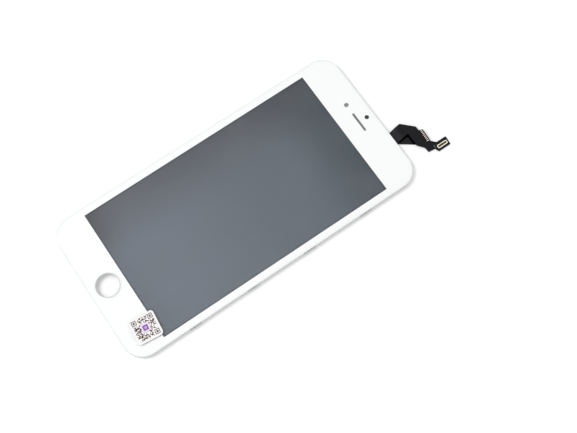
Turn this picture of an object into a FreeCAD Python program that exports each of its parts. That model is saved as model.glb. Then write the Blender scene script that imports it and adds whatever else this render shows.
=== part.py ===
import FreeCAD, Part
import math
import os

os.makedirs("parts", exist_ok=True)

# A replacement screen assembly for a phone with a 5.5 inch display, lying on its back.
# Millimetres. X runs to the right and Y towards the earpiece, seen from the front. Z runs out
# of the front. Z = 0 is the back of the steel rear plate, under the middle of the glass.

# Display window
active_width = 68.5
active_length = 121.8

# Cover glass
glass_corner = 10.0
glass_thickness = 0.80
glass_front_round = 0.55
glass_back_bevel = 0.15
home_hole_diameter = 11.0
home_hole_gap = 0.55
home_hole_bevel = 0.20
earpiece_slot_length = 10.4
earpiece_slot_width = 1.0
earpiece_drop = 0.10
camera_window_diameter = 2.2
sensor_window_diameter = 2.1
sensor_rise = 4.45

# Liquid crystal cell and the films behind it
cell_border = 1.05
touch_bond_length = 0.60
driver_ledge = 2.7
polariser_inset = 0.30
film_inset = 0.35
cell_clearance = 0.20
film_clearance = 0.15

# Layer thicknesses, from the back to the front
rear_plate_thickness = 0.30
gasket_thickness = 0.25
force_sensor_thickness = 0.15
reflector_thickness = 0.08
light_guide_thickness = 0.50
film_thickness = 0.10
cell_support_gap = 0.05
polariser_thickness = 0.12
cell_glass_thickness = 0.20
optical_adhesive_thickness = 0.15
frame_adhesive_thickness = 0.10
print_thickness = 0.05

# Backlight holder, lights and steel tray
holder_wall = 0.55
holder_lip_height = 0.35
tray_wall = 0.20
tray_wall_height = 1.20
tray_corner = 1.2
tray_panel_inset = 4.5
tray_panel_groove = 1.2
tray_groove_depth = 0.12
jig_hole_diameter = 1.6
jig_hole_inset = 2.4
snap_count = 5
snap_pitch = 24.0
snap_length = 4.0
snap_height = 0.45
snap_rise = 0.40
snap_clearance = 0.05
gasket_width = 1.2
light_count = 12
light_length = 3.0
light_depth = 1.1
light_gap = 0.05
strip_overlap = 0.20
driver_chip_length = 20.0
driver_chip_width = 1.2
driver_chip_height = 0.18
driver_chip_gap = 0.40

# Moulded mid frame
side_wall = 1.30
end_wall = 1.30
frame_inset = 0.25
frame_edge_bevel = 0.20
module_clearance = 0.20
deck_thickness = 0.80
crossbar_width = 0.70
rib_width = 0.60
rib_lift = 0.25
rib_gap = 3.15
rib_pitch = 6.5
rib_count = 3
window_corner = 1.6
window_side_margin = 2.9
window_flex_margin = 3.95
window_web = 0.30
camera_margin = 0.65
camera_gap = 1.95
sensor_window_gap = 0.70
home_window_margin = 1.1
home_window_web = 0.90
adhesive_inset = 0.30

# Fasteners and clips in the mid frame
boss_radius = 1.6
boss_gap = 1.1
insert_radius = 0.90
insert_bore_radius = 0.45
insert_length = 1.00
insert_clearance = 0.02
clip_rows = 4
clip_pitch = 31.0
clip_width = 6.4
clip_metal = 0.25
clip_height = 1.80
clip_lift = 0.10
clip_toe_gap = 0.20
clip_nose = 0.16
clip_window_width = 3.0
clip_window_height = 0.55
clip_clearance = 0.05
middle_hook_x = -3.0
hook_width = 4.2
lug_reach = 7.4
lug_width = 4.2
lug_depth = 1.9
lug_lift = 0.10
lug_bore_radius = 0.50
lug_plate_length = 3.2
lug_plate_thickness = 0.25
screw_clearance = 0.35

# Earpiece, camera and sensor pieces behind the glass
mesh_margin = 1.0
mesh_hole_diameter = 0.34
mesh_hole_pitch = 0.66
mesh_hole_columns = 15
mesh_hole_rows = 2
earpiece_gasket_height = 0.70
earpiece_gasket_wall = 1.25
earpiece_gasket_gap = 0.20
camera_ring_height = 1.10
camera_ring_wall = 0.85
sight_clearance = 0.15
sensor_bracket_length = 5.0
sensor_bracket_width = 2.9
sensor_bracket_height = 0.80
sensor_bracket_corner = 0.40

# Flexible circuit in two layers
flex_thickness = 0.10
flex_web = 1.65
flex_width = 6.30
flex_bend_radius = 0.55
flex_bend_start = 0.55
flex_port_clearance = 0.35
flex_notch_clearance = 0.30
display_bond_length = 1.3
flex_corner = 0.25
turn_run = 6.9
turn_lean = 0.80
turn_chamfer = 5.5
arm_width = 5.05
slope_start_back = 3.8
slope_end_back = 0.6
web_gap = 0.85
tab_start = 1.5
tab_length = 7.15
tab_height = 1.90
neck_offset = 2.1
neck_inset = 1.9
neck_rise = 2.75
head_rise = 1.9
head_width = 4.40
head_length = 7.1
head_skew = 0.40
lower_layer_inset = 0.18
pad_count = 8
pad_width = 0.28
pad_length = 1.00
pad_thickness = 0.03
pad_edge_gap = 0.50

# Connector on the circuit's head
stiffener_thickness = 0.25
shell_width = 1.80
shell_length = 5.30
shell_wall = 0.36
shell_height = 0.72
shell_corner = 0.45
socket_side_gap = 1.60
socket_end_gap = 0.60
socket_clearance = 0.02
socket_floor = 0.22
tongue_width = 0.42
tongue_height = 0.36
contact_count = 10
contact_pitch = 0.42
contact_width = 0.20
contact_height = 0.34
contact_thickness = 0.10
chip_part_length = 0.60
chip_part_width = 0.32
chip_part_height = 0.28
chip_part_count = 3
chip_part_pitch = 0.62

# Label on the glass
label_size = 12.3
label_corner = 1.5
label_thickness = 0.08
label_side_gap = 11.9
label_end_gap = 12.9
label_turn = -6.0

# Heights worked out from the layers
gasket_low = rear_plate_thickness
force_sensor_low = gasket_low + gasket_thickness
reflector_low = force_sensor_low + force_sensor_thickness
light_guide_low = reflector_low + reflector_thickness
diffuser_low = light_guide_low + light_guide_thickness
lower_prism_low = diffuser_low + film_thickness
upper_prism_low = lower_prism_low + film_thickness
rear_polariser_low = upper_prism_low + film_thickness + cell_support_gap
array_low = rear_polariser_low + polariser_thickness
filter_low = array_low + cell_glass_thickness
front_polariser_low = filter_low + cell_glass_thickness
optical_adhesive_low = front_polariser_low + polariser_thickness
print_low = optical_adhesive_low + optical_adhesive_thickness
glass_low = print_low + print_thickness
glass_top = glass_low + glass_thickness
frame_top = print_low - frame_adhesive_thickness
frame_bottom = clip_lift + clip_metal
deck_low = frame_top - deck_thickness
rib_low = frame_bottom + rib_lift
clip_top = clip_lift + clip_height
lug_plate_low = deck_low - lug_plate_thickness
lug_bore_height = (lug_lift + lug_plate_low) / 2
lower_flex_low = stiffener_thickness
upper_flex_low = lower_flex_low + flex_thickness
flex_top = upper_flex_low + flex_thickness

# Places worked out from the middle of the display window outwards
home_hole_radius = home_hole_diameter / 2
home_window_radius = home_hole_radius + home_window_margin
camera_ring_radius = camera_window_diameter / 2 + sight_clearance + camera_ring_wall
gasket_half_length = earpiece_slot_length / 2 + earpiece_gasket_wall
half_active_length = active_length / 2
cell_half_width = active_width / 2 + cell_border
cell_bottom = -half_active_length - cell_border
filter_top = half_active_length + cell_border + touch_bond_length
array_top = filter_top + driver_ledge
film_half_width = cell_half_width - film_inset
film_bottom = cell_bottom + film_inset
film_top = filter_top - film_inset
guide_top = film_top + strip_overlap + light_gap
lights_low_y = guide_top + light_gap
sheet_top = array_top - film_inset - cell_clearance
holder_half_width = cell_half_width + cell_clearance + holder_wall
holder_bottom = cell_bottom - cell_clearance - holder_wall
holder_top = array_top + cell_clearance + holder_wall
tray_half_width = holder_half_width + tray_wall
tray_bottom = holder_bottom - tray_wall
tray_top = holder_top + tray_wall
opening_half_width = tray_half_width + module_clearance
opening_bottom = tray_bottom - module_clearance
opening_top = tray_top + module_clearance
home_hole_y = opening_bottom - home_hole_gap - home_hole_radius
window_bottom = opening_top + crossbar_width
camera_y = window_bottom + camera_margin + camera_ring_radius
earpiece_y = camera_y - earpiece_drop
sensor_y = earpiece_y + sensor_rise
window_top = sensor_y + sensor_bracket_width / 2 + sensor_window_gap
camera_x = -gasket_half_length - camera_gap - camera_ring_radius
window_left = camera_x - camera_ring_radius - window_side_margin
window_right = gasket_half_length + window_flex_margin
pocket_low_y = home_hole_y - home_window_radius - home_window_web
pocket_high_y = window_top + window_web
frame_half_width = opening_half_width + side_wall
frame_low_y = pocket_low_y - end_wall
frame_high_y = pocket_high_y + end_wall
glass_half_width = frame_half_width + frame_inset
glass_low_y = frame_low_y - frame_inset
glass_high_y = frame_high_y + frame_inset
flex_left = window_right + flex_web
flex_right = flex_left + flex_width
rib_first = flex_right + rib_gap
boss_reach = home_window_radius + boss_gap + boss_radius
arm_top = turn_run + turn_chamfer
arm_low = arm_top - arm_width
tab_left = turn_chamfer + tab_start
head_left = tab_left + tab_length + neck_offset
head_bottom = arm_top + head_rise
head_top = head_bottom + head_length
past = 1.0
flat_enough = 1e-5
close_enough = 1e-6


def point(x, y, z=0.0):
    return FreeCAD.Vector(x, y, z)


def corner_arc(before, corner, after, radius):
    """Start, middle and end of the tangent arc that rounds one corner."""
    back = (before - corner).normalize()
    ahead = (after - corner).normalize()
    half_angle = back.getAngle(ahead) / 2
    reach = radius / math.tan(half_angle)
    inwards = (back + ahead).normalize()
    middle = corner + inwards * (radius / math.sin(half_angle) - radius)
    return corner + back * reach, middle, corner + ahead * reach


def rounded_outline(points, radii):
    """Face inside a closed outline, each corner rounded by its own radius."""
    stations = []
    for i, corner in enumerate(points):
        if radii[i] > 0:
            stations.append(corner_arc(points[i - 1], corner, points[(i + 1) % len(points)], radii[i]))
        else:
            stations.append((corner, corner, corner))
    edges = []
    for i, (start, middle, end) in enumerate(stations):
        if radii[i] > 0:
            edges.append(Part.Arc(start, middle, end).toShape())
        following = stations[(i + 1) % len(stations)][0]
        if end.distanceToPoint(following) > close_enough:
            edges.append(Part.makeLine(end, following))
    return Part.Face(Part.Wire(edges))


def rectangle(x0, x1, y0, y1, radius=0.0):
    points = [point(x0, y0), point(x1, y0), point(x1, y1), point(x0, y1)]
    return rounded_outline(points, [radius] * 4)


def centred(width, length, radius=0.0, x=0.0, y=0.0):
    return rectangle(x - width / 2, x + width / 2, y - length / 2, y + length / 2, radius)


def slab(face, low, high):
    """The face, lifted to low and thickened up to high."""
    lifted = face.copy()
    lifted.translate(point(0, 0, low))
    return lifted.extrude(point(0, 0, high - low))


def disc(x, y, radius, low, high):
    return Part.makeCylinder(radius, high - low, point(x, y, low))


def box(x0, x1, y0, y1, z0, z1):
    return Part.makeBox(x1 - x0, y1 - y0, z1 - z0, point(x0, y0, z0))


def along_x(profile, x0, x1):
    """A closed profile of (y, z) pairs, drawn out along X."""
    corners = [point(x0, y, z) for y, z in profile]
    return Part.Face(Part.makePolygon(corners + corners[:1])).extrude(point(x1 - x0, 0, 0))


def along_y(profile, y0, y1):
    """A closed profile of (x, z) pairs, drawn out along Y."""
    corners = [point(x, y0, z) for x, z in profile]
    return Part.Face(Part.makePolygon(corners + corners[:1])).extrude(point(0, y1 - y0, 0))


def join(pieces):
    return pieces[0].multiFuse(pieces[1:]).removeSplitter()


def mirrored(shape, normal):
    return shape.mirror(point(0, 0, 0), normal)


def edges_at(shape, z):
    """Edges that lie flat at one height."""
    boxes = [(edge, edge.BoundBox) for edge in shape.Edges]
    return [edge for edge, size in boxes if abs(size.ZMin - z) + abs(size.ZMax - z) < flat_enough]


def glass_outline(inset=0.0):
    """The cover glass seen from the front, drawn in by the inset all round."""
    width = glass_half_width - inset
    return rectangle(-width, width, glass_low_y + inset, glass_high_y - inset, glass_corner - inset)


def earpiece_slot(grow=0.0):
    length = earpiece_slot_length + 2 * grow
    width = earpiece_slot_width + 2 * grow
    return centred(length, width, width / 2, 0, earpiece_y)


def eased_front(body):
    """Front edge ground in three flats that all touch one quarter round."""
    eighth = math.tan(math.pi / 8)
    first = glass_front_round * (1 - eighth)
    second = glass_front_round * (eighth - math.tan(math.pi / 16))
    body = body.makeChamfer(first, edges_at(body, glass_top))
    edges = edges_at(body, glass_top) + edges_at(body, glass_top - first)
    return body.makeChamfer(second, edges)


def cover_glass():
    body = eased_front(slab(glass_outline(), glass_low, glass_top))
    body = body.makeChamfer(glass_back_bevel, edges_at(body, glass_low))
    hole = disc(0, home_hole_y, home_hole_radius, glass_low - past, glass_top + past)
    bevel = Part.makeCone(
        home_hole_radius,
        home_hole_radius + home_hole_bevel,
        home_hole_bevel,
        point(0, home_hole_y, glass_top - home_hole_bevel),
    )
    slot = slab(earpiece_slot(), glass_low - past, glass_top + past)
    return body.cut(hole).cut(bevel).cut(slot)


def display_window():
    return centred(active_width, active_length)


def border_print():
    sheet = slab(glass_outline(glass_back_bevel), print_low, glass_low)
    below, above = print_low - past, glass_low + past
    for hole in (
        slab(display_window(), below, above),
        disc(0, home_hole_y, home_hole_radius, below, above),
        slab(earpiece_slot(), below, above),
        disc(camera_x, camera_y, camera_window_diameter / 2, below, above),
        disc(0, sensor_y, sensor_window_diameter / 2, below, above),
    ):
        sheet = sheet.cut(hole)
    return sheet


def sensor_window_ink():
    return disc(0, sensor_y, sensor_window_diameter / 2, print_low, glass_low)


def polariser_face():
    width = cell_half_width - polariser_inset
    top = filter_top - polariser_inset - touch_bond_length
    return rectangle(-width, width, cell_bottom + polariser_inset, top)


def optical_adhesive():
    layer = slab(polariser_face(), optical_adhesive_low, print_low)
    step = slab(display_window(), print_low, glass_low)
    return join([layer, step])


def front_polariser():
    return slab(polariser_face(), front_polariser_low, optical_adhesive_low)


def colour_filter_glass():
    face = rectangle(-cell_half_width, cell_half_width, cell_bottom, filter_top)
    return slab(face, filter_low, front_polariser_low)


def array_glass():
    face = rectangle(-cell_half_width, cell_half_width, cell_bottom, array_top)
    return slab(face, array_low, filter_low)


def driver_chip():
    low_y = filter_top + driver_chip_gap
    half = driver_chip_length / 2
    top = filter_low + driver_chip_height
    return box(-half, half, low_y, low_y + driver_chip_width, filter_low, top)


def rear_polariser():
    face = rectangle(-film_half_width, film_half_width, film_bottom, film_top)
    return slab(face, rear_polariser_low, array_low)


def film(low):
    face = rectangle(-film_half_width, film_half_width, film_bottom, film_top)
    return slab(face, low, low + film_thickness)


def light_guide():
    face = rectangle(-film_half_width, film_half_width, film_bottom, guide_top)
    return slab(face, light_guide_low, diffuser_low)


def sheet_face():
    return rectangle(-film_half_width, film_half_width, film_bottom, sheet_top)


def reflector_film():
    return slab(sheet_face(), reflector_low, light_guide_low)


def force_sensor():
    return slab(sheet_face(), force_sensor_low, reflector_low)


def sensor_gasket():
    ring = slab(sheet_face(), gasket_low, force_sensor_low)
    width = film_half_width - gasket_width
    hole = rectangle(-width, width, film_bottom + gasket_width, sheet_top - gasket_width, gasket_width)
    return ring.cut(slab(hole, gasket_low - past, force_sensor_low + past))


def lights():
    pitch = 2 * film_half_width / light_count
    row = []
    for i in range(light_count):
        middle = (i - (light_count - 1) / 2) * pitch
        body = box(
            middle - light_length / 2,
            middle + light_length / 2,
            lights_low_y,
            lights_low_y + light_depth,
            light_guide_low,
            diffuser_low,
        )
        row.append(body)
    return Part.makeCompound(row)


def light_strip():
    face = rectangle(-film_half_width, film_half_width, guide_top - strip_overlap, sheet_top)
    return slab(face, diffuser_low, diffuser_low + film_thickness)


def flex_gap(low_y, high_y, low, high):
    """Room left for the flexible circuit where it passes through a wall."""
    left = flex_left - flex_port_clearance
    right = flex_right + flex_port_clearance
    return box(left, right, low_y, high_y, low, high)


def holder_outline():
    width = holder_half_width
    return rectangle(-width, width, holder_bottom, holder_top, tray_corner - tray_wall)


def snap_row(depth, grow):
    """Blocks along both long sides, from just inside the tray's walls and out by the depth."""
    blocks = []
    low = rear_plate_thickness + snap_rise - grow
    high = low + snap_height + 2 * grow
    for i in range(snap_count):
        y = (i - (snap_count - 1) / 2) * snap_pitch
        half = snap_length / 2 + grow
        near, far = holder_half_width - snap_clearance, holder_half_width + depth
        block = box(near, far, y - half, y + half, low, high)
        blocks.append(block)
        blocks.append(mirrored(block, point(1, 0, 0)))
    return blocks


def backlight_frame():
    """Moulded holder: films in the well, the cell on the step, snaps that fill the tray's windows."""
    body = slab(holder_outline(), rear_plate_thickness, array_low + holder_lip_height)
    body = join([body] + snap_row(tray_wall - snap_clearance, 0))
    well_width = film_half_width + film_clearance
    well = rectangle(-well_width, well_width, film_bottom - film_clearance, sheet_top + film_clearance)
    seat_width = cell_half_width + cell_clearance
    seat = rectangle(-seat_width, seat_width, cell_bottom - cell_clearance, array_top + cell_clearance)
    high = array_low + holder_lip_height + past
    body = body.cut(slab(well, 0, high))
    body = body.cut(slab(seat, array_low, high))
    return body.cut(flex_gap(array_top, holder_top + past, filter_low - film_thickness, high))


def panel_outline(inset):
    """Outline of the raised panel pressed into the tray's floor."""
    drawn_in = tray_panel_inset + inset
    width = tray_half_width - drawn_in
    corner = tray_panel_inset - inset
    return rectangle(-width, width, tray_bottom + drawn_in, tray_top - drawn_in, corner)


def rear_plate():
    """Deep-drawn steel tray: floor with a pressed groove, thin walls with snap windows, jig holes."""
    outer = rectangle(-tray_half_width, tray_half_width, tray_bottom, tray_top, tray_corner)
    wall_top = rear_plate_thickness + tray_wall_height
    tray = slab(outer, 0, wall_top)
    tray = tray.makeChamfer(tray_wall, edges_at(tray, 0))
    tray = tray.cut(slab(holder_outline(), rear_plate_thickness, wall_top + past))
    groove = slab(panel_outline(0), -past, tray_groove_depth)
    groove = groove.cut(slab(panel_outline(tray_panel_groove), -past, tray_groove_depth))
    tray = tray.cut(groove)
    for window in snap_row(tray_wall + past, snap_clearance):
        tray = tray.cut(window)
    for x in (-tray_half_width + jig_hole_inset, tray_half_width - jig_hole_inset):
        for y in (tray_bottom + jig_hole_inset, tray_top - jig_hole_inset):
            tray = tray.cut(disc(x, y, jig_hole_diameter / 2, -past, rear_plate_thickness + past))
    return tray


def end_pocket(end, low, high):
    """The hollow behind the top deck (end = 1) or the bottom deck (end = -1)."""
    corner = glass_corner - frame_inset - end_wall
    width = frame_half_width - side_wall
    inside_rim = slab(rectangle(-width, width, pocket_low_y, pocket_high_y, corner), low, high)
    if end > 0:
        return inside_rim.common(box(-width, width, window_bottom, pocket_high_y, low, high))
    return inside_rim.common(box(-width, width, pocket_low_y, opening_bottom - crossbar_width, low, high))


def end_ribs(end):
    """Thin walls across the hollow behind a deck, cut to the hollow's outline."""
    ribs = []
    for i in range(rib_count):
        for side in (-1, 1):
            x = side * (rib_first + i * rib_pitch)
            left, right = x - rib_width / 2, x + rib_width / 2
            ribs.append(box(left, right, frame_low_y, frame_high_y, rib_low, deck_low))
    return Part.makeCompound(ribs).common(end_pocket(end, rib_low, deck_low))


def earpiece_window(low, high, grow=0.0):
    face = rectangle(
        window_left - grow,
        window_right + grow,
        window_bottom - grow,
        window_top + grow,
        window_corner,
    )
    return slab(face, low, high)


def home_window(low, high, grow=0.0):
    radius = home_window_radius + grow
    round_part = disc(0, home_hole_y, radius, low, high)
    neck = box(-radius, radius, home_hole_y, opening_bottom + past, low, high)
    return round_part.fuse(neck)


def clip_profile(clearance):
    """Section of a folded side clip: a plate against the rim, a foot below it and a snap nose."""
    face = frame_half_width
    back = face - clip_metal - clearance
    toe = opening_half_width + clip_toe_gap
    foot_top = clip_lift + clip_metal
    nose_middle = foot_top + clip_nose
    return [
        (toe, clip_lift),
        (face, clip_lift),
        (face + clip_nose, foot_top),
        (face + clip_nose, nose_middle),
        (face, nose_middle + clip_nose),
        (face, clip_top + clearance),
        (back, clip_top + clearance),
        (back, foot_top),
        (toe, foot_top),
    ]


def clip_rows_y():
    return [(i - (clip_rows - 1) / 2) * clip_pitch for i in range(clip_rows)]


def side_clips():
    clips = []
    window_low = clip_top - 2 * clip_window_height
    for y in clip_rows_y():
        clip = along_y(clip_profile(0), y - clip_width / 2, y + clip_width / 2)
        window = box(
            frame_half_width - 2 * clip_metal,
            frame_half_width + past,
            y - clip_window_width / 2,
            y + clip_window_width / 2,
            window_low,
            window_low + clip_window_height,
        )
        clip = clip.cut(window)
        clips.append(clip)
        clips.append(mirrored(clip, point(1, 0, 0)))
    return Part.makeCompound(clips)


def clip_recesses():
    recesses = []
    for y in clip_rows_y():
        half = clip_width / 2 + clip_clearance
        recess = box(
            frame_half_width - clip_metal - clip_clearance,
            frame_half_width + past,
            y - half,
            y + half,
            0,
            clip_top + clip_clearance,
        )
        recesses.append(recess)
        recesses.append(mirrored(recess, point(1, 0, 0)))
    return recesses


def hook_profile():
    """Section of a top hook: a plate behind the rim, a foot under it and a tip that turns up."""
    foot_top = clip_lift + clip_metal
    return [
        (pocket_high_y - clip_metal, clip_lift),
        (frame_high_y, clip_lift),
        (frame_high_y + clip_nose, foot_top),
        (pocket_high_y, foot_top),
        (pocket_high_y, deck_low),
        (pocket_high_y - clip_metal, deck_low),
    ]


def top_hooks():
    outer = rib_first + rib_pitch / 2
    places = (-outer, middle_hook_x, outer)
    hooks = [along_x(hook_profile(), x - hook_width / 2, x + hook_width / 2) for x in places]
    return Part.makeCompound(hooks)


def screw_lugs():
    """Two steel blocks tapped from the bottom edge, each with a plate under the deck."""
    outer = pocket_low_y
    lugs = []
    for x in (-lug_reach, lug_reach):
        left, right = x - lug_width / 2, x + lug_width / 2
        block = box(left, right, outer, outer + lug_depth, lug_lift, lug_plate_low)
        plate = box(left, right, outer, outer + lug_plate_length, lug_plate_low, deck_low)
        start = point(x, outer - past, lug_bore_height)
        bore = Part.makeCylinder(lug_bore_radius, lug_depth + 2 * past, start, point(0, 1, 0))
        lugs.append(join([block, plate]).cut(bore))
    return Part.makeCompound(lugs)


def screw_notches():
    """Round-topped gaps in the bottom rim, through which the screws reach the lugs."""
    notches = []
    radius = lug_bore_radius + screw_clearance
    outer = frame_low_y - past
    for x in (-lug_reach, lug_reach):
        start = point(x, outer, lug_bore_height)
        notches.append(Part.makeCylinder(radius, end_wall + past, start, point(0, 1, 0)))
        notches.append(box(x - radius, x + radius, outer, pocket_low_y, 0, lug_bore_height))
    return notches


def boss_places():
    return [(-boss_reach, home_hole_y), (boss_reach, home_hole_y)]


def flex_port():
    """Where the circuit falls from the cell to the back, cut through the top deck."""
    fall = filter_low - lower_flex_low
    bend_end = opening_top + flex_bend_start + fall + 2 * flex_port_clearance
    return flex_gap(opening_top - past, bend_end, 0, glass_low)


def mid_frame():
    """Moulded frame: a rim round the module, a ribbed deck at each end, bosses and cut-outs."""
    body = slab(glass_outline(frame_inset), frame_bottom, frame_top)
    body = body.makeChamfer(frame_edge_bevel, edges_at(body, frame_bottom))
    opening = rectangle(
        -opening_half_width, opening_half_width, opening_bottom, opening_top, tray_corner + module_clearance
    )
    body = body.cut(slab(opening, 0, glass_low))
    for end in (-1, 1):
        body = body.cut(end_pocket(end, 0, deck_low))
    bosses = [disc(x, y, boss_radius, rib_low, deck_low) for x, y in boss_places()]
    body = join([body, end_ribs(-1), end_ribs(1)] + bosses)
    for x, y in boss_places():
        body = body.cut(disc(x, y, insert_radius, rib_low - past, rib_low + insert_length))
    body = body.cut(earpiece_window(0, glass_low))
    body = body.cut(home_window(0, glass_low))
    body = body.cut(flex_port())
    body = body.cut(flex_gap(opening_top, glass_high_y, 0, flex_top + flex_notch_clearance))
    for cutter in clip_recesses() + screw_notches() + [top_hooks()]:
        body = body.cut(cutter)
    return body.removeSplitter()


def bracket_inserts():
    inserts = []
    radius = insert_radius - insert_clearance
    for x, y in boss_places():
        low, high = rib_low, rib_low + insert_length
        body = disc(x, y, radius, low, high)
        inserts.append(body.cut(disc(x, y, insert_bore_radius, low - past, high + past)))
    return Part.makeCompound(inserts)


def frame_adhesive():
    ring = slab(glass_outline(frame_inset + adhesive_inset), frame_top, print_low)
    opening = rectangle(
        -opening_half_width - adhesive_inset,
        opening_half_width + adhesive_inset,
        opening_bottom - adhesive_inset,
        opening_top + adhesive_inset,
        tray_corner,
    )
    ring = ring.cut(slab(opening, 0, glass_low))
    ring = ring.cut(earpiece_window(0, glass_low, adhesive_inset))
    ring = ring.cut(home_window(0, glass_low, adhesive_inset))
    return ring.cut(flex_port())


def hexagon(x, y, radius, low, high):
    turns = [i * math.pi / 3 for i in range(6)]
    corners = [point(x + radius * math.sin(turn), y + radius * math.cos(turn), low) for turn in turns]
    return Part.Face(Part.makePolygon(corners + corners[:1])).extrude(point(0, 0, high - low))


def earpiece_mesh():
    """Etched steel mesh behind the slot: staggered rows of small six-sided holes."""
    plate = slab(earpiece_slot(mesh_margin), frame_top, print_low)
    holes = []
    for row in range(mesh_hole_rows):
        for column in range(mesh_hole_columns):
            from_middle = row - (mesh_hole_rows - 1) / 2
            x = (column + from_middle / 2 - (mesh_hole_columns - 1) / 2) * mesh_hole_pitch
            y = earpiece_y + from_middle * mesh_hole_pitch * math.sin(math.pi / 3)
            holes.append(hexagon(x, y, mesh_hole_diameter / 2, frame_top - past, glass_low))
    return plate.cut(Part.makeCompound(holes))


def earpiece_gasket():
    ring = slab(earpiece_slot(earpiece_gasket_wall), frame_top - earpiece_gasket_height, frame_top)
    return ring.cut(slab(earpiece_slot(earpiece_gasket_gap), 0, glass_low))


def camera_ring():
    sight = camera_window_diameter / 2 + sight_clearance
    low = print_low - camera_ring_height
    ring = disc(camera_x, camera_y, camera_ring_radius, low, print_low)
    place = point(camera_x, camera_y, low)
    flare = Part.makeCone(sight + camera_ring_wall / 2, sight, camera_ring_height, place)
    return ring.cut(flare)


def sensor_bracket():
    sight = sensor_window_diameter / 2 + sight_clearance
    low = print_low - sensor_bracket_height
    outline = centred(sensor_bracket_length, sensor_bracket_width, sensor_bracket_corner, 0, sensor_y)
    plate = slab(outline, low, print_low)
    return plate.cut(disc(0, sensor_y, sight, low - past, print_low + past))


def bent_strip(start_y, top_low, floor_low, lead):
    """The circuit's way from the cell down to the table: flat, a fall at 45 degrees, and flat."""
    fall = top_low - floor_low
    first = opening_top + flex_bend_start + lead
    corners = [(start_y, top_low), (first, top_low), (first + fall, floor_low), (glass_high_y, floor_low)]
    bulge = flex_thickness * math.tan(math.pi / 8)
    above = [
        (start_y, top_low + flex_thickness),
        (first + bulge, top_low + flex_thickness),
        (first + fall + bulge, floor_low + flex_thickness),
        (glass_high_y, floor_low + flex_thickness),
    ]
    outline = [point(flex_left, y, z) for y, z in corners + above[::-1]]
    tight = flex_bend_radius
    wide = flex_bend_radius + flex_thickness
    face = rounded_outline(outline, [0, tight, wide, 0, 0, tight, wide, 0])
    return face.extrude(point(flex_width, 0, 0))


def from_exit(x, y):
    """A place on the circuit, counted from where its left edge leaves the glass."""
    return point(flex_left + x, glass_high_y + y)


def head_outline(inset):
    left = head_left + inset
    right = head_left + head_width - inset
    return [
        from_exit(left, head_top - inset),
        from_exit(right, head_top - head_skew - inset),
        from_exit(right, head_bottom + inset),
    ]


def flex_outline(inset, has_tab):
    """Flat outline of one layer outside the glass, clockwise from where its left edge leaves."""
    turn_left = inset - turn_lean
    neck_right = head_left + neck_inset
    neck_bottom = arm_low + neck_rise
    slope_start = head_left - slope_start_back
    points = [
        from_exit(0, 0),
        from_exit(turn_left, turn_run - inset / 2),
        from_exit(turn_left + turn_chamfer + inset, arm_top - inset),
    ]
    if has_tab:
        points += [
            from_exit(tab_left, arm_top),
            from_exit(tab_left + tab_height / 3, arm_top + tab_height),
            from_exit(tab_left + tab_length, arm_top + tab_height - head_skew),
        ]
    else:
        points.append(from_exit(head_left - tab_height, arm_top - inset))
    points.append(from_exit(head_left + inset, head_bottom + tab_height))
    points += head_outline(inset)
    points += [
        from_exit(neck_right + head_skew - inset, head_bottom - 2 * head_skew),
        from_exit(neck_right - inset, neck_bottom + inset),
        from_exit(head_left - slope_end_back, neck_bottom - head_skew / 2 + inset),
        from_exit(slope_start, arm_low + inset),
    ]
    if has_tab:
        points.append(from_exit(flex_width - turn_lean, arm_low))
    else:
        points.append(from_exit(slope_start - web_gap, arm_low - inset / 2))
    points.append(from_exit(flex_width, 0))
    return points


def flex_layer(start_y, top_low, floor_low, lead, inset, has_tab):
    outline = flex_outline(inset, has_tab)
    radii = [0] + [flex_corner] * (len(outline) - 2) + [0]
    flat = slab(rounded_outline(outline, radii), floor_low, floor_low + flex_thickness)
    return join([bent_strip(start_y, top_low, floor_low, lead), flat])


def display_flex():
    start = array_top - display_bond_length
    return flex_layer(start, filter_low, lower_flex_low, 0, lower_layer_inset, False)


def touch_flex():
    start = filter_top - touch_bond_length
    lead = flex_thickness * math.tan(math.pi / 8)
    return flex_layer(start, front_polariser_low, upper_flex_low, lead, 0, True)


def bond_pads():
    pads = []
    first = tab_left + tab_height / 3 + pad_width / 2
    pad_pitch = (tab_left + tab_length - pad_edge_gap - pad_width - first) / (pad_count - 1)
    for i in range(pad_count):
        x = first + i * pad_pitch
        lean = head_skew * i * pad_pitch / tab_length
        y = arm_top + tab_height - pad_edge_gap - pad_length - lean
        place = from_exit(x, y)
        pads.append(Part.makeBox(pad_width, pad_length, pad_thickness, point(place.x, place.y, flex_top)))
    return Part.makeCompound(pads)


def socket_centre():
    x = head_left + socket_side_gap + shell_width / 2
    return from_exit(x, head_bottom + socket_end_gap + shell_length / 2)


def flex_stiffener():
    outline = head_outline(lower_layer_inset)
    outline.append(from_exit(head_left + lower_layer_inset, head_bottom + lower_layer_inset))
    return slab(rounded_outline(outline, [flex_corner] * len(outline)), 0, stiffener_thickness)


def socket_face(inset):
    place = socket_centre()
    corner = max(shell_corner - inset, shell_corner / 4)
    return centred(shell_width - 2 * inset, shell_length - 2 * inset, corner, place.x, place.y)


def connector_shell():
    high = flex_top + shell_height
    return slab(socket_face(0), flex_top, high).cut(slab(socket_face(shell_wall), 0, high + past))


def connector_housing():
    floor_top = flex_top + socket_floor
    place = socket_centre()
    floor = slab(socket_face(shell_wall + socket_clearance), flex_top, floor_top)
    length = contact_count * contact_pitch
    outline = centred(tongue_width, length, tongue_width / 4, place.x, place.y)
    tongue = slab(outline, floor_top, floor_top + tongue_height)
    return join([floor, tongue])


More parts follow.
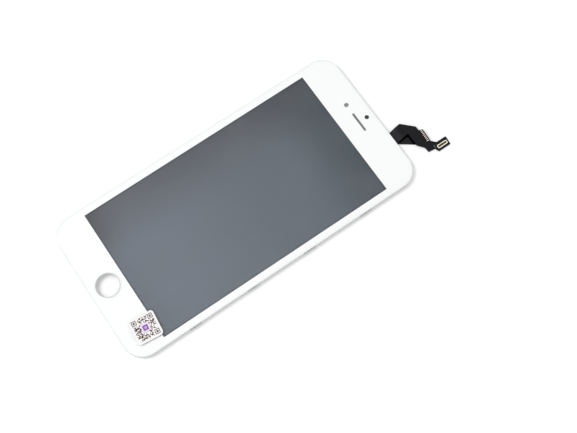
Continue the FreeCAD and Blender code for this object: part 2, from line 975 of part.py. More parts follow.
def connector_contacts():
    place = socket_centre()
    low = flex_top + socket_floor
    contacts = []
    for side in (-1, 1):
        middle = place.x + side * (tongue_width + contact_thickness) / 2
        for i in range(contact_count):
            y = place.y + (i - (contact_count - 1) / 2) * contact_pitch
            corner = point(middle - contact_thickness / 2, y - contact_width / 2, low)
            contacts.append(Part.makeBox(contact_thickness, contact_width, contact_height, corner))
    return Part.makeCompound(contacts)


def flex_capacitors():
    parts = []
    for i in range(chip_part_count):
        x = head_left + chip_part_length + i * chip_part_pitch
        place = from_exit(x, head_bottom - chip_part_length)
        corner = point(place.x, place.y, flex_top)
        parts.append(Part.makeBox(chip_part_width, chip_part_length, chip_part_height, corner))
    return Part.makeCompound(parts)


def label_sticker():
    label = slab(centred(label_size, label_size, label_corner), glass_top, glass_top + label_thickness)
    label.rotate(point(0, 0, 0), point(0, 0, 1), label_turn)
    label.translate(point(glass_half_width - label_side_gap, glass_low_y + label_end_gap))
    return label


nodes = {
    "cover_glass": cover_glass(),
    "border_print": border_print(),
    "sensor_window_ink": sensor_window_ink(),
    "optical_adhesive": optical_adhesive(),
    "front_polariser": front_polariser(),
    "colour_filter_glass": colour_filter_glass(),
    "array_glass": array_glass(),
    "driver_chip": driver_chip(),
    "rear_polariser": rear_polariser(),
    "upper_prism_film": film(upper_prism_low),
    "lower_prism_film": film(lower_prism_low),
    "diffuser_film": film(diffuser_low),
    "light_guide": light_guide(),
    "reflector_film": reflector_film(),
    "light_strip": light_strip(),
    "lights": lights(),
    "backlight_frame": backlight_frame(),
    "force_sensor": force_sensor(),
    "sensor_gasket": sensor_gasket(),
    "rear_plate": rear_plate(),
    "mid_frame": mid_frame(),
    "frame_adhesive": frame_adhesive(),
    "side_clips": side_clips(),
    "top_hooks": top_hooks(),
    "screw_lugs": screw_lugs(),
    "bracket_inserts": bracket_inserts(),
    "earpiece_mesh": earpiece_mesh(),
    "earpiece_gasket": earpiece_gasket(),
    "camera_ring": camera_ring(),
    "sensor_bracket": sensor_bracket(),
    "display_flex": display_flex(),
    "touch_flex": touch_flex(),
    "bond_pads": bond_pads(),
    "flex_stiffener": flex_stiffener(),
    "connector_housing": connector_housing(),
    "connector_shell": connector_shell(),
    "connector_contacts": connector_contacts(),
    "flex_capacitors": flex_capacitors(),
    "label_sticker": label_sticker(),
}

for name, shape in nodes.items():
    shape.exportStep("parts/" + name + ".step")
    size = shape.BoundBox
    print(
        name,
        "solids",
        len(shape.Solids),
        "valid",
        shape.isValid(),
        "z",
        round(size.ZMin, 3),
        round(size.ZMax, 3),
        "volume",
        round(shape.Volume, 3),
    )
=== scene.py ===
# %% [markdown]
# A replacement screen for a phone, lying on its back on a white table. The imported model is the
# fixed frame: every solid is already at its real place and size, in metres. This script gives
# each of them its finish, and rebuilds the few pieces whose look needs more than the solid has.

# %% Load the frame
import bmesh
import bpy
import math
from mathutils import Matrix, Quaternion, Vector


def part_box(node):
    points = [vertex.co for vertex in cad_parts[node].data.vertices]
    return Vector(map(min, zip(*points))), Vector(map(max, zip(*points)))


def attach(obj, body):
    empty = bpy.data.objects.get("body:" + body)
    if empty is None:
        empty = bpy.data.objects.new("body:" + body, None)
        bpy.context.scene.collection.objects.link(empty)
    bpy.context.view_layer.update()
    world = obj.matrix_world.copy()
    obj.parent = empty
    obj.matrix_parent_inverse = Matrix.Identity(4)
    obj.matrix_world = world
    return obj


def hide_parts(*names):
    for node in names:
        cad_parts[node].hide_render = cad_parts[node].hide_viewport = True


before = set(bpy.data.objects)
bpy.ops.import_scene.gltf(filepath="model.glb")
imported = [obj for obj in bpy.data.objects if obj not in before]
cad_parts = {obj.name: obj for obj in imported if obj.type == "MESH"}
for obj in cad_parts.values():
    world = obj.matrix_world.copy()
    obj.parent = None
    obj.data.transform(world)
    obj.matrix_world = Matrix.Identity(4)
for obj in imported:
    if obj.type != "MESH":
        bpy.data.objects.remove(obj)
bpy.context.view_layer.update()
MM = 0.001

# %% [markdown]
# The camera comes first, because everything after it is judged through it. The photograph looks
# down steeply from the right-hand side of the screen. Four corners of the glass gave its azimuth,
# elevation, roll and distance. A target point and three angles say the same thing as a matrix,
# and are easier to read and to change.

# %% Camera
IMAGE_WIDTH, IMAGE_HEIGHT = 577, 433
camera_sensor = 36.0
camera_lens = 63.3
camera_azimuth = math.radians(58.039)
camera_elevation = math.radians(72.928)
camera_roll = math.radians(-2.589)
camera_distance = 464.13 * MM
camera_target = Vector((19.65, 15.94, 3.27)) * MM
nearest_seen = 10 * MM


def towards(azimuth, elevation):
    """Unit vector from the object to a viewer or lamp at that azimuth and elevation."""
    flat = math.cos(elevation)
    return Vector((math.sin(azimuth) * flat, -math.cos(azimuth) * flat, math.sin(elevation)))


def turned_to(direction, roll=0.0):
    """Turn of a camera or lamp that faces along a direction, with its top kept upwards."""
    return direction.to_track_quat("-Z", "Y") @ Quaternion((0, 0, 1), roll)


camera = bpy.data.objects.new("camera", bpy.data.cameras.new("camera"))
bpy.context.scene.collection.objects.link(camera)
camera.data.sensor_width = camera_sensor
camera.data.lens = camera_lens
camera.data.clip_start = nearest_seen
camera_back = towards(camera_azimuth, camera_elevation)
camera.location = camera_target + camera_back * camera_distance
camera.rotation_mode = "QUATERNION"
camera.rotation_quaternion = turned_to(-camera_back, camera_roll)
bpy.context.scene.camera = camera
bpy.context.scene.view_settings.view_transform = "Standard"
pixels_per_mm = camera_lens / camera_sensor * IMAGE_WIDTH / (camera_distance / MM)
print("pixels per mm on the glass", round(pixels_per_mm, 2), "frame", IMAGE_WIDTH, IMAGE_HEIGHT)

# %% [markdown]
# Shader nodes are easier to follow as arithmetic than as a web of links. A Shade wraps one
# output socket. Adding, multiplying or comparing Shades adds Math nodes, and node() adds any
# other kind: its settings first, then the values or links of its sockets. A Mix node keeps one
# set of sockets for each kind of value, so the four that colours use are named here.

# %% A shader value that can be used in expressions
MIX_FACTOR, MIX_OFF, MIX_ON, MIX_RESULT = 0, 6, 7, 2


class Shade:
    def __init__(self, tree, socket):
        self.tree = tree
        self.socket = socket

    def node(self, kind, values, out=0, **settings):
        """Adds a node of a kind to the same tree and gives one of its outputs."""
        made = self.tree.nodes.new("ShaderNode" + kind)
        for name, setting in settings.items():
            setattr(made, name, setting)
        for key, value in values.items():
            if isinstance(value, Shade):
                self.tree.links.new(value.socket, made.inputs[key])
            else:
                made.inputs[key].default_value = value
        return Shade(self.tree, made.outputs[out])

    def maths(self, operation, first, second=0.0):
        return self.node("Math", {0: first, 1: second}, operation=operation)

    def __add__(self, other):
        return self.maths("ADD", self, other)

    def __sub__(self, other):
        return self.maths("SUBTRACT", self, other)

    def __rsub__(self, other):
        return self.maths("SUBTRACT", other, self)

    def __mul__(self, other):
        return self.maths("MULTIPLY", self, other)

    def __truediv__(self, other):
        return self.maths("DIVIDE", self, other)

    def __gt__(self, other):
        return self.maths("GREATER_THAN", self, other)

    def __lt__(self, other):
        return self.maths("LESS_THAN", self, other)

    def __abs__(self):
        return self.maths("ABSOLUTE", self)

    def __floor__(self):
        return self.maths("FLOOR", self)

    def at_least(self, other):
        return self.maths("MAXIMUM", self, other)

    def at_most(self, other):
        return self.maths("MINIMUM", self, other)

    def rise(self, low, high):
        """0 below low, 1 above high, and a smooth rise between them."""
        limits = {"Value": self, "From Min": low, "From Max": high}
        return self.node("MapRange", limits, interpolation_type="SMOOTHSTEP")

    def blend(self, off, on):
        """The colour off where this is 0, and the colour on where it is 1."""
        colours = {MIX_FACTOR: self, MIX_OFF: off, MIX_ON: on}
        return self.node("Mix", colours, out=MIX_RESULT, data_type="RGBA")

    def split(self):
        """The three parts of a vector."""
        return [self.node("SeparateXYZ", {0: self}, out=axis) for axis in range(3)]

    __radd__ = __add__
    __rmul__ = __mul__


def paint(red, green, blue):
    """A colour as 0 to 255 on the screen, turned into the linear values that shaders use.
    The numbers are those of the standard curve of computer screens."""
    linear = []
    for level in (red, green, blue):
        share = level / 255
        if share <= 0.04045:
            linear.append(share / 12.92)
        else:
            linear.append(((share + 0.055) / 1.055) ** 2.4)
    return (*linear, 1.0)


print("mid grey 128 is", round(paint(128, 128, 128)[0], 3), "in linear light")

# %% [markdown]
# Every finish starts in the same way: an empty node tree, and the point being shaded in
# millimetres. Object coordinates are used, because every piece sits at the origin and so they
# are the real places on the object. Two noises serve most finishes: soft clouds of slightly
# different colour, and a fine grain for the bump.

# %% Starting and ending a material
WHITE = (1.0, 1.0, 1.0, 1.0)
GLASS_REFLECTION = 0.028
GLASS_PASSED = 0.965


def start_finish(name):
    material = bpy.data.materials.new(name)
    material.use_nodes = True
    tree = material.node_tree
    tree.nodes.clear()
    place = Shade(tree, None).node("TexCoord", {}, out="Object")
    return material, place.node("VectorMath", {0: place, "Scale": 1 / MM}, operation="SCALE")


def end_finish(material, surface):
    output = surface.tree.nodes.new("ShaderNodeOutputMaterial")
    surface.tree.links.new(surface.socket, output.inputs["Surface"])
    return material


def noise(place, size, detail=2.0, stretch=(1.0, 1.0, 1.0)):
    """Noise with features about size millimetres wide, stretched along an axis by a scale under 1."""
    warped = place.node("Mapping", {"Vector": place, "Scale": stretch})
    return place.node("TexNoise", {"Vector": warped, "Scale": 1 / size, "Detail": detail})


def behind_glass(red, green, blue):
    """The paint that shows as this colour when the glass adds its own reflection of white."""
    shown = paint(red, green, blue)[:3]
    return (*[(level - GLASS_REFLECTION) / GLASS_PASSED for level in shown], 1.0)


def coated(place, colour, roughness, metal=0.0, grain=None, depth=0.01, **constants):
    """Principled surface. grain is a bump height, and depth its real depth in millimetres."""
    values = {"Base Color": colour, "Roughness": roughness, "Metallic": metal}
    for name, value in constants.items():
        values[name.replace("_", " ")] = value
    if grain is not None:
        values["Normal"] = place.node("Bump", {"Height": grain, "Distance": depth * MM})
    return place.node("BsdfPrincipled", values)


def dress(material, *names):
    """Puts one finish on CAD nodes or pieces, by name."""
    for name in names:
        mesh = bpy.data.objects[name].data
        mesh.materials.clear()
        mesh.materials.append(material)
    print(material.name, "on", ", ".join(names))


print("mid grey behind the glass is painted", round(behind_glass(128, 128, 128)[0], 3))

# %% [markdown]
# The studio: a white floor, a white surround and one large soft lamp. The floor adds a little
# glow for the camera, so that it is white where nothing shades it, and still takes the object's
# soft shadow. Light that bounces off it is a plainer grey. Its underside is see-through, so the
# back can be looked at from below.

# %% Floor
FLOOR_HALF = 1.2
FLOOR_DROP = 0.02 * MM
floor_shade = (0.92, 0.92, 0.92, 1.0)
floor_cloud = (0.91, 0.91, 0.91, 1.0)
floor_bounce = (0.80, 0.80, 0.80, 1.0)
floor_glow = 0.15


def seen_directly(place):
    """1 for rays that show the background: the camera's own, mirrored ones and those in glass."""
    of_camera, mirrored, in_glass = [
        place.node("LightPath", {}, out="Is " + kind + " Ray")
        for kind in ("Camera", "Glossy", "Transmission")
    ]
    return of_camera.at_least(mirrored).at_least(in_glass)


def floor_finish():
    material, place = start_finish("white_floor")
    clouded = noise(place, size=60.0).blend(floor_shade, floor_cloud)
    lit = place.node("BsdfDiffuse", {"Color": clouded})
    glow = place.node("Emission", {"Strength": floor_glow})
    shown = place.node("AddShader", {0: lit, 1: glow})
    bounced = place.node("BsdfDiffuse", {"Color": floor_bounce})
    top = place.node("MixShader", {0: seen_directly(place), 1: bounced, 2: shown})
    clear = place.node("BsdfTransparent", {})
    below = place.node("NewGeometry", {}, out="Backfacing")
    return end_finish(material, place.node("MixShader", {0: below, 1: top, 2: clear}))


floor_mesh = bpy.data.meshes.new("floor")
sheet = bmesh.new()
bmesh.ops.create_grid(sheet, x_segments=1, y_segments=1, size=FLOOR_HALF)
bmesh.ops.translate(sheet, verts=sheet.verts, vec=(0, 0, -FLOOR_DROP))
sheet.to_mesh(floor_mesh)
sheet.free()
floor = bpy.data.objects.new("floor", floor_mesh)
bpy.context.scene.collection.objects.link(floor)
dress(floor_finish(), "floor")

# %% [markdown]
# The surround is an even white on all sides. It lights the object at a plain level, while the
# camera, mirrors and glass see it pure white. Light Path tells the two kinds of ray apart.

# %% Surround
surround_light = 0.66
world = bpy.data.worlds.new("surround")
bpy.context.scene.world = world
world.use_nodes = True
world.node_tree.nodes.clear()
sky = Shade(world.node_tree, None)
sky_strength = seen_directly(sky) * (1 - surround_light) + surround_light
backdrop = sky.node("Background", {"Color": WHITE, "Strength": sky_strength})
world_output = world.node_tree.nodes.new("ShaderNodeOutputWorld")
world.node_tree.links.new(backdrop.socket, world_output.inputs["Surface"])
print("the surround lights at", surround_light, "and shows at 1")

# %% [markdown]
# The photograph's shadows fall towards its lower right, so the lamp stands on the left. It is
# large for its distance, which keeps every shadow soft.

# %% Lamp
lamp_azimuth = math.radians(-42)
lamp_elevation = math.radians(56)
lamp_distance = 2.2
lamp_size = 1.0
lamp_power = 22.5
lamp = bpy.data.objects.new("soft_lamp", bpy.data.lights.new("soft_lamp", "AREA"))
bpy.context.scene.collection.objects.link(lamp)
lamp.data.size = lamp_size
lamp.data.energy = lamp_power
lamp_back = towards(lamp_azimuth, lamp_elevation)
lamp.location = lamp_back * lamp_distance
lamp.rotation_mode = "QUATERNION"
lamp.rotation_quaternion = turned_to(-lamp_back)
print("lamp", [round(x, 2) for x in lamp.location], "m,", lamp_power, "W")

# %% [markdown]
# A few pieces are rebuilt from their solids. A CAD node's mesh is loose triangles, so a copy of
# it is merged first. The copy then shades smooth up to an angle, and a Weighted Normal modifier
# keeps its large flat faces flat.

# %% Copying a solid
HAIR = 0.01 * MM
MERGE_REACH = HAIR / 10
SMOOTH_UP_TO = math.radians(35)


def piece_from(node, name):
    """A merged copy of a CAD node's mesh in a bmesh, and the object that will carry it."""
    body = bmesh.new()
    body.from_mesh(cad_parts[node].data)
    bmesh.ops.remove_doubles(body, verts=body.verts, dist=MERGE_REACH)
    made = bpy.data.objects.new(name, bpy.data.meshes.new(name))
    bpy.context.scene.collection.objects.link(made)
    return body, made


def keep_piece(body, made):
    """Writes the mesh, shades it smooth, and rides it on the body."""
    body.to_mesh(made.data)
    body.free()
    made.data.shade_smooth()
    made.data.set_sharp_from_angle(angle=SMOOTH_UP_TO)
    weighted = made.modifiers.new("flat_faces_stay_flat", "WEIGHTED_NORMAL")
    weighted.keep_sharp = True
    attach(made, "root")
    print(made.name, len(made.data.polygons), "faces")


print("corners closer than", round(MERGE_REACH / MM, 4), "mm are merged")

# %% [markdown]
# The cover glass is clear, and touches the print below it. Two faces at exactly the same height
# would fight for the same pixels, so the back of the glass is lifted by a hundredth of a
# millimetre. The clear adhesive behind it is a hair smaller all round for the same reason.

# %% Cover glass and clear adhesive
bond_scale = (0.9996, 0.9998, 0.88)

glass_low, glass_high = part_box("cover_glass")
body, made = piece_from("cover_glass", "polished_cover_glass")
back_verts = [vert for vert in body.verts if vert.co.z < glass_low.z + HAIR]
bmesh.ops.translate(body, verts=back_verts, vec=(0, 0, HAIR))
keep_piece(body, made)
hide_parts("cover_glass")

body, made = piece_from("optical_adhesive", "clear_bond_layer")
middle = sum(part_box("optical_adhesive"), Vector()) / 2
towards_middle = Matrix.Translation(-middle)
bmesh.ops.scale(body, verts=body.verts, vec=bond_scale, space=towards_middle)
keep_piece(body, made)
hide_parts("optical_adhesive")

# %% [markdown]
# Clear pieces mix a see-through shader with a mirror. Fresnel sets the mirror's share: on the
# glass it comes to about 3 percent face on, and more at a slant. Only front faces mirror, since
# a ray that isn't bent would otherwise meet a false full mirror at the back of the glass.

# %% Finish of the clear pieces
GLASS_IOR = 1.5
glass_gloss = 0.7
smear_roughness = 0.03


def clear_finish(name, tint, gloss, roughness):
    """tint is what passes through, and gloss scales the mirror's share."""
    material, place = start_finish(name)
    smear = noise(place, size=9.0, detail=3.0)
    rough = smear * smear_roughness + roughness
    through = place.node("BsdfTransparent", {"Color": tint})
    mirror = place.node("BsdfAnisotropic", {"Color": WHITE, "Roughness": rough})
    front = 1 - place.node("NewGeometry", {}, out="Backfacing")
    share = place.node("Fresnel", {"IOR": GLASS_IOR}) * front * gloss
    return end_finish(material, place.node("MixShader", {0: share, 1: through, 2: mirror}))


polished = clear_finish("polished_glass", (0.994, 0.996, 0.996, 1), glass_gloss, roughness=0.02)
bond = clear_finish("clear_bond", (0.995, 0.995, 0.995, 1), gloss=0.0, roughness=0.3)
dress(polished, "polished_cover_glass")
dress(bond, "clear_bond_layer")

# %% [markdown]
# The ground edge of the glass passes less light than its faces, which draws a thin grey line
# round it. The bevel of the button hole has a darker tint still, a painted shade that draws its
# ring darker. Both are the same clear finish with a darker tint, put on those faces only.

# %% Ground edges of the glass
EDGE_SLOT, HOLE_SLOT = 1, 2
flat_from = 0.95
hole_middle = Vector((0, -69.15)) * MM
hole_reach = 6.5 * MM

edge = clear_finish("ground_glass_edge", (0.87, 0.89, 0.885, 1), glass_gloss, roughness=0.06)
# Darker tint on the hole's bevel: a painted shade round the hole.
ring = clear_finish("hole_edge_painted_shade", (0.68, 0.70, 0.70, 1), glass_gloss, roughness=0.06)
glass_mesh = bpy.data.objects["polished_cover_glass"].data
glass_mesh.materials.append(edge)
glass_mesh.materials.append(ring)
edge_faces = [face for face in glass_mesh.polygons if abs(face.normal.z) < flat_from]
for face in edge_faces:
    at_hole = (face.center.xy - hole_middle).length < hole_reach
    face.material_index = HOLE_SLOT if at_hole else EDGE_SLOT
print(len(edge_faces), "faces of the glass are its ground edges")

# %% [markdown]
# White ink is screen-printed on the back of the glass in several passes. It is an even, bright
# white with the faintest clouding where one pass is thinner. The sensor's window is a dark ink.

# %% Print behind the glass
def print_finish():
    material, place = start_finish("white_print_ink")
    colour = noise(place, size=14.0).blend(paint(250, 250, 250), paint(252, 252, 252))
    grain = noise(place, size=0.25)
    return end_finish(material, coated(place, colour, roughness=0.5, grain=grain, depth=0.002))


def ink_finish():
    material, place = start_finish("infrared_ink")
    colour = noise(place, size=0.8).blend(paint(2, 2, 4), paint(10, 10, 14))
    return end_finish(material, coated(place, colour, roughness=0.35))


dress(print_finish(), "border_print")
dress(ink_finish(), "sensor_window_ink")

# %% [markdown]
# The display is off, so its window shows the front polariser, a slate grey with painted
# reflection and painted shade over it: darker and slightly brown at the left and the earpiece end,
# and bluer and lighter towards the other. It is built from smooth rises along and across the
# window, with soft clouds of painted reflection over them. The last stretch before the button end
# is a little darker again, a painted shade that is brownest in its left corner. A thin darker rim
# of painted shade follows the border.

# %% Display window
window_half = Vector((68.5, 121.8)) / 2

# These run between two places in millimetres from the middle of the window: along it they are
# counted towards the button end, and across it to the right.
first_rise, first_share = (-64.0, -26.0), 0.6
second_rise, second_share = (-30.0, 52.0), 0.4
left_side = (-42.0, -4.0)
end_stretch, end_share = (44.0, 66.0), 0.3
left_corner, corner_share = (-26.0, -8.0), 0.6

# The painted rim shade fades out between two distances from the border, and the patches of painted
# reflection between two levels.
rim_shade_fade, rim_shade_share = (0.2, 1.1), 0.45
reflection_patch_levels, reflection_patch_share = (0.4, 0.75), 0.3


def polariser_finish():
    material, place = start_finish("dark_polariser")
    x, y, _ = place.split()
    down = y * -1
    # Painted reflection: lighter and bluer towards the button end.
    painted_reflection = down.rise(*first_rise) * first_share + down.rise(*second_rise) * second_share
    colour = painted_reflection.blend(behind_glass(84, 91, 97), behind_glass(122, 129, 139))
    # Painted shade: darker and browner on the left side.
    shaded_left_colour = painted_reflection.blend(behind_glass(72, 72, 77), behind_glass(104, 106, 111))
    colour = (1 - x.rise(*left_side)).blend(colour, shaded_left_colour)
    # Soft patches of painted reflection.
    painted_reflection_patches = noise(place, size=24.0).rise(*reflection_patch_levels) * reflection_patch_share
    colour = painted_reflection_patches.blend(colour, behind_glass(118, 124, 127))
    # Painted shade over the last stretch, brownest in its left corner.
    end_shade = down.rise(*end_stretch)
    colour = (end_shade * end_share).blend(colour, behind_glass(104, 107, 114))
    corner_shade = end_shade * (1 - x.rise(*left_corner)) * corner_share
    colour = corner_shade.blend(colour, behind_glass(92, 89, 90))
    # Painted shade in a thin rim along the border of the window.
    inside = (window_half.x - abs(x)).at_most(window_half.y - abs(y))
    painted_rim_shade = (1 - inside.rise(*rim_shade_fade)) * rim_shade_share
    colour = painted_rim_shade.blend(colour, behind_glass(70, 74, 79))
    return end_finish(material, coated(place, colour, roughness=0.45, Specular_IOR_Level=0.1))


dress(polariser_finish(), "front_polariser")

# %% [markdown]
# The layers behind it are mostly hidden. Each still has its own finish, for the places where an
# edge shows at the flexible circuit or at the back. All of them are quiet: two close colours in
# soft clouds, and a fine grain a twelfth of their size.

# %% Layers of the display
GRAIN_OF_CLOUD = 12


def plain_finish(name, dark, light, size, roughness, metal=0.0, depth=0.002):
    """A quiet moulded or rolled surface. size is the width of its clouds in millimetres."""
    material, place = start_finish(name)
    colour = noise(place, size).blend(dark, light)
    grain = noise(place, size / GRAIN_OF_CLOUD, detail=3.0)
    return end_finish(material, coated(place, colour, roughness, metal, grain, depth))


look = plain_finish("cell_glass", paint(70, 78, 80), paint(82, 90, 92), size=6.0, roughness=0.1)
dress(look, "colour_filter_glass", "array_glass")
look = plain_finish("silicon_chip", paint(46, 48, 54), paint(60, 62, 68), size=1.0, roughness=0.25)
dress(look, "driver_chip")
look = plain_finish("rear_polariser", paint(60, 64, 68), paint(72, 76, 80), size=8.0, roughness=0.3)
dress(look, "rear_polariser")

# %% [markdown]
# The backlight is made of bright films and a clear guide, with a row of small lights on an amber
# strip at one end. The pressure sensor behind it is a thin brown film.

# %% Backlight and pressure sensor
film_dark, film_light = paint(206, 210, 212), paint(222, 226, 228)
look = plain_finish("optical_film", film_dark, film_light, size=5.0, roughness=0.35)
dress(look, "upper_prism_film", "lower_prism_film", "diffuser_film")
guide_dark, guide_light = paint(214, 224, 226), paint(226, 236, 238)
look = plain_finish("acrylic_guide", guide_dark, guide_light, size=5.0, roughness=0.12)
dress(look, "light_guide")
mirror_dark, mirror_light = paint(214, 216, 218), paint(232, 233, 234)
look = plain_finish("mirror_film", mirror_dark, mirror_light, size=4.0, roughness=0.15, metal=0.9)
dress(look, "reflector_film")
lamp_dark, lamp_light = paint(232, 226, 196), paint(244, 240, 214)
look = plain_finish("white_lamp_body", lamp_dark, lamp_light, size=0.6, roughness=0.4)
dress(look, "lights")
look = plain_finish("amber_film", paint(132, 78, 30), paint(158, 98, 42), size=3.0, roughness=0.35)
dress(look, "light_strip")
look = plain_finish("sensor_film", paint(120, 92, 52), paint(140, 108, 64), size=4.0, roughness=0.4)
dress(look, "force_sensor")

# %% [markdown]
# The frames are moulded in white plastic, so that nothing dark shows beside the glass. Gaskets
# are black foam, whose open cells give it a deeper grain and no gloss.

# %% Plastic, foam and tape
FOAM_DEPTH = 0.03
foam = {"roughness": 0.9, "depth": FOAM_DEPTH}
look = plain_finish("black_foam", paint(30, 30, 32), paint(44, 44, 46), size=0.5, **foam)
dress(look, "sensor_gasket")
look = plain_finish("gasket_foam", paint(28, 28, 30), paint(42, 42, 44), size=0.4, **foam)
dress(look, "earpiece_gasket")
holder_dark, holder_light = paint(226, 227, 226), paint(236, 237, 236)
look = plain_finish("holder_plastic", holder_dark, holder_light, size=2.0, roughness=0.45)
dress(look, "backlight_frame")
frame_dark, frame_light = paint(232, 232, 230), paint(241, 241, 239)
look = plain_finish("frame_plastic", frame_dark, frame_light, size=3.0, roughness=0.42)
dress(look, "mid_frame")
look = plain_finish("bonding_tape", paint(36, 36, 38), paint(50, 50, 52), size=1.2, roughness=0.6)
dress(look, "frame_adhesive")
# The camera ring is painted near black, so the bore under the camera window shows a painted shade.
look = plain_finish("dark_ring_with_painted_shade", paint(30, 31, 34), paint(46, 48, 51), size=0.6, roughness=0.5)
dress(look, "camera_ring")
clear_dark, clear_light = paint(196, 202, 204), paint(212, 217, 218)
look = plain_finish("clear_holder", clear_dark, clear_light, size=1.0, roughness=0.25)
dress(look, "sensor_bracket")

# %% [markdown]
# Metal pieces. The rear tray is rolled stainless steel: long fine scratches along it, so its
# noise is stretched sixty times. Clips and lugs are the same steel, folded small. The inserts
# are turned brass, and the earpiece mesh is a darker plate with real holes.

# %% Metals
streak_size = 0.35
streak_depth = 0.004
streak_roughness = 0.16
tone_size = 16.0


def metal_finish(name, dark, light, roughness, stretch=(1, 1, 1)):
    """Metal with soft tones and fine streaks, which the stretch draws out along an axis."""
    material, place = start_finish(name)
    streaks = noise(place, streak_size, detail=4.0, stretch=stretch)
    colour = noise(place, tone_size).blend(dark, light)
    rough = streaks * streak_roughness + roughness
    surface = coated(place, colour, rough, metal=1.0, grain=streaks, depth=streak_depth)
    return end_finish(material, surface)


tray_dark, tray_light = paint(176, 178, 180), paint(192, 194, 196)
look = metal_finish("rolled_steel", tray_dark, tray_light, roughness=0.28, stretch=(1, 0.016, 1))
dress(look, "rear_plate")
clip_dark, clip_light = paint(170, 172, 174), paint(190, 192, 194)
look = metal_finish("clip_steel", clip_dark, clip_light, roughness=0.3, stretch=(1, 0.2, 1))
dress(look, "side_clips", "top_hooks", "screw_lugs")
brass_dark, brass_light = paint(196, 160, 92), paint(214, 180, 112)
look = metal_finish("turned_brass", brass_dark, brass_light, roughness=0.25, stretch=(1, 1, 0.1))
dress(look, "bracket_inserts")
mesh_dark, mesh_light = paint(108, 109, 110), paint(126, 127, 128)
look = metal_finish("mesh_steel", mesh_dark, mesh_light, roughness=0.45, stretch=(0.2, 1, 1))
dress(look, "earpiece_mesh")

# %% [markdown]
# The flexible circuit is two layers that lie on each other, and the upper one bows up a little
# between the glass and the connector's head. It is a copy of its solid, cut into narrow strips so
# that it can bend, and lifted by a smooth swell that is zero at both ends. The bonding pads ride
# on the same swell.

# %% Bow of the upper circuit layer
CUT_STEP = 0.5 * MM
CUT_REACH = HAIR / 100
bow_height = 1.20 * MM
grows_over = 5.0 * MM
settles_over = 4.5 * MM
exit_low, exit_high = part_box("touch_flex")
head_low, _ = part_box("flex_stiffener")
glass_end = glass_high.y


def eased(distance, whole):
    """How far a distance has come towards a whole, from 0 to 1, with a soft start and end."""
    share = min(max(distance / whole, 0.0), 1.0)
    return share * share * (3 - 2 * share)


def swell(place):
    """Lift of the upper layer: it grows away from the glass and is gone at the head."""
    grown = eased(place.y - glass_end, grows_over)
    left = eased(head_low.x - place.x, settles_over)
    return bow_height * grown * left


def cut_past_glass(body, place, axis):
    """Cuts what lies past the end of the glass with the plane through a place, across an axis."""
    faces = [face for face in body.faces if face.calc_center_median().y > glass_end]
    edges = {edge for face in faces for edge in face.edges}
    verts = {vert for face in faces for vert in face.verts}
    parts = list(verts) + list(edges) + faces
    bmesh.ops.bisect_plane(body, geom=parts, dist=CUT_REACH, plane_co=place, plane_no=axis)


def bowed(node, name):
    """A copy of a solid, cut into strips past the glass and lifted by the swell."""
    body, made = piece_from(node, name)
    for axis in (Vector((1, 0, 0)), Vector((0, 1, 0))):
        start = axis.dot(Vector((exit_low.x, glass_end, 0)))
        stop = axis.dot(exit_high)
        for step in range(int((stop - start) / CUT_STEP)):
            cut_past_glass(body, axis * (start + step * CUT_STEP), axis)
    for vert in body.verts:
        vert.co.z += swell(vert.co)
    bmesh.ops.triangulate(body, faces=[face for face in body.faces if len(face.verts) > 4])
    keep_piece(body, made)
    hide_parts(node)


bowed("touch_flex", "bowed_upper_layer")
bowed("bond_pads", "bowed_pads")

# %% [markdown]
# The circuit is copper on amber film under a satin black cover. The cover wraps the flat faces
# only, so a cut edge shows the amber core as a thin reddish line. Beside the upper layer's two
# inner edges the lower layer carries a painted shadow of the bowed layer: dull and nearly black.

# %% Flexible circuit
amber_core = paint(58, 22, 22)
# Colour of the painted shadow that the bowed upper layer casts on the lower one.
painted_shadow_colour = paint(3, 3, 5)
cover_shine = 0.26
core_to_cover = (0.2, 0.6)

# The two inner edges meet at this corner, in millimetres. One of them leans by this share.
inner_corner = Vector((17.55, 85.55))
inner_lean = 0.109
shadow_line_fade = (0.5, 1.1)
faces_up = 0.5


def painted_shadow_line(place, upwards):
    """1 on the painted shadow beside the upper layer's two inner edges, and 0 away from it."""
    x, y, _ = place.split()
    from_side = x - inner_corner.x + (y - inner_corner.y) * inner_lean
    from_arm = inner_corner.y - y
    return (1 - from_side.at_most(from_arm).rise(*shadow_line_fade)) * (upwards > faces_up)


def cover_film_finish(name, dark, light, with_painted_shadow=False):
    material, place = start_finish(name)
    upwards = place.node("NewGeometry", {}, out="Normal").split()[2]
    flatness = abs(upwards).rise(*core_to_cover)
    black = noise(place, size=3.0).blend(dark, light)
    colour = flatness.blend(amber_core, black)
    shine = cover_shine
    # Beside the upper layer's inner edges the lower layer gets a painted shadow, nearly black and
    # without shine.
    if with_painted_shadow:
        shadow_line = painted_shadow_line(place, upwards)
        colour = shadow_line.blend(colour, painted_shadow_colour)
        shine = (1 - shadow_line) * cover_shine
    grain = noise(place, size=0.12, detail=3.0)
    gloss = {"Specular_IOR_Level": 0.02, "Coat_Weight": shine, "Coat_Roughness": 0.5}
    surface = coated(place, colour, roughness=0.5, grain=grain, depth=0.004, **gloss)
    return end_finish(material, surface)


upper = cover_film_finish("upper_cover_film", paint(8, 9, 13), paint(22, 21, 27))
lower = cover_film_finish("lower_cover_film", paint(17, 16, 17), paint(30, 27, 28), with_painted_shadow=True)
stiffener = cover_film_finish("stiffener_film", paint(30, 24, 26), paint(44, 36, 36))
dress(upper, "bowed_upper_layer")
dress(lower, "display_flex")
dress(stiffener, "flex_stiffener")

# %% [markdown]
# The bonding pads and the connector's rim are plated in a pale, bright gold. The contacts lie
# deep in a dark housing, in a darker, duller gold that is partly painted shade of that depth.
# The chip parts beside it are grey ceramic.

# %% Pads, connector and chip parts
look = metal_finish("pad_gold", paint(244, 226, 214), paint(250, 238, 228), roughness=0.4)
dress(look, "bowed_pads")
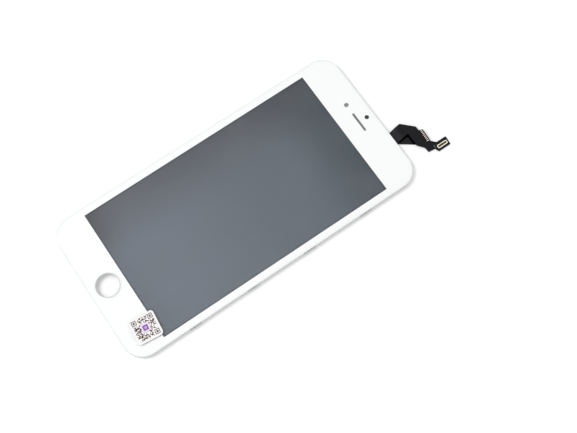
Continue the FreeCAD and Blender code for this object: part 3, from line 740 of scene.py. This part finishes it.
# Darker, duller gold: partly the contacts' own plating, partly painted shade deep in the housing.
look = metal_finish("contact_gold_with_painted_shade", paint(150, 142, 88), paint(178, 168, 108), roughness=0.3)
dress(look, "connector_contacts")
look = metal_finish("shell_gold", paint(240, 234, 212), paint(249, 244, 228), roughness=0.4)
dress(look, "connector_shell")
housing_dark, housing_light = paint(34, 33, 20), paint(48, 47, 30)
look = plain_finish("connector_plastic", housing_dark, housing_light, size=0.5, roughness=0.45)
dress(look, "connector_housing")
look = plain_finish("chip_ceramic", paint(72, 80, 80), paint(98, 106, 104), size=0.3, roughness=0.4)
dress(look, "flex_capacitors")

# %% [markdown]
# The label is white paper with a printed field of small squares. Its squares come from a noise
# on whole-number cells, so they spell nothing. Three ringed corners and a lilac centre give it
# the look of such labels.

# %% Label
label_low, label_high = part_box("label_sticker")
label_middle = (label_low + label_high) / 2 / MM
label_turn = math.radians(-6.0)
code_half = 5.1
code_cells = 25
code_cell = 2 * code_half / code_cells
blank_share = 0.52
ring_middle = 3.95
ring_half = 1.15
ring_line = 0.34
ring_dot = 0.46
centre_half = 1.25
centre_border = centre_half * 1.6
centre_dot = centre_half * 0.45


def square_distance(x, y, middle_x=0, middle_y=0):
    """Distance from a middle measured the way a chess king walks, which draws squares."""
    return abs(x - middle_x).at_least(abs(y - middle_y))


def label_place(place):
    """The place on the label, from its middle and along its own sides."""
    values = {"Vector": place, "Location": label_middle, "Rotation": (0, 0, label_turn)}
    return place.node("Mapping", values, vector_type="TEXTURE")


def label_finish():
    material, place = start_finish("label_paper")
    x, y, _ = label_place(place).split()
    column = math.floor(x / code_cell + 0.5)
    row = math.floor(y / code_cell + 0.5)
    whole = place.node("CombineXYZ", {0: column, 1: row})
    chance = place.node("TexWhiteNoise", {"Vector": whole}, noise_dimensions="2D")
    dots = (chance > blank_share) * (square_distance(x, y) < code_half)
    rings = 0.0
    for side_x, side_y in ((-1, 1), (1, 1), (-1, -1)):
        away = square_distance(x, y, side_x * ring_middle, side_y * ring_middle)
        dots = dots * (away > ring_half + code_cell)
        ring = (away < ring_half) * (away > ring_half - ring_line) + (away < ring_dot)
        rings = ring + rings
    centre = square_distance(x, y)
    dots = dots * (centre > centre_border)
    ink = (dots + rings).at_most(1.0)
    paper = noise(place, size=1.5).blend(paint(243, 241, 241), paint(246, 244, 244))
    colour = ink.blend(paper, paint(62, 26, 20))
    colour = (centre < centre_border).blend(colour, paint(236, 214, 240))
    colour = (centre < centre_half).blend(colour, paint(128, 92, 158))
    colour = (centre < centre_dot).blend(colour, paint(196, 160, 216))
    grain = noise(place, size=0.1)
    return end_finish(material, coated(place, colour, roughness=0.55, grain=grain, depth=0.002))


dress(label_finish(), "label_sticker")
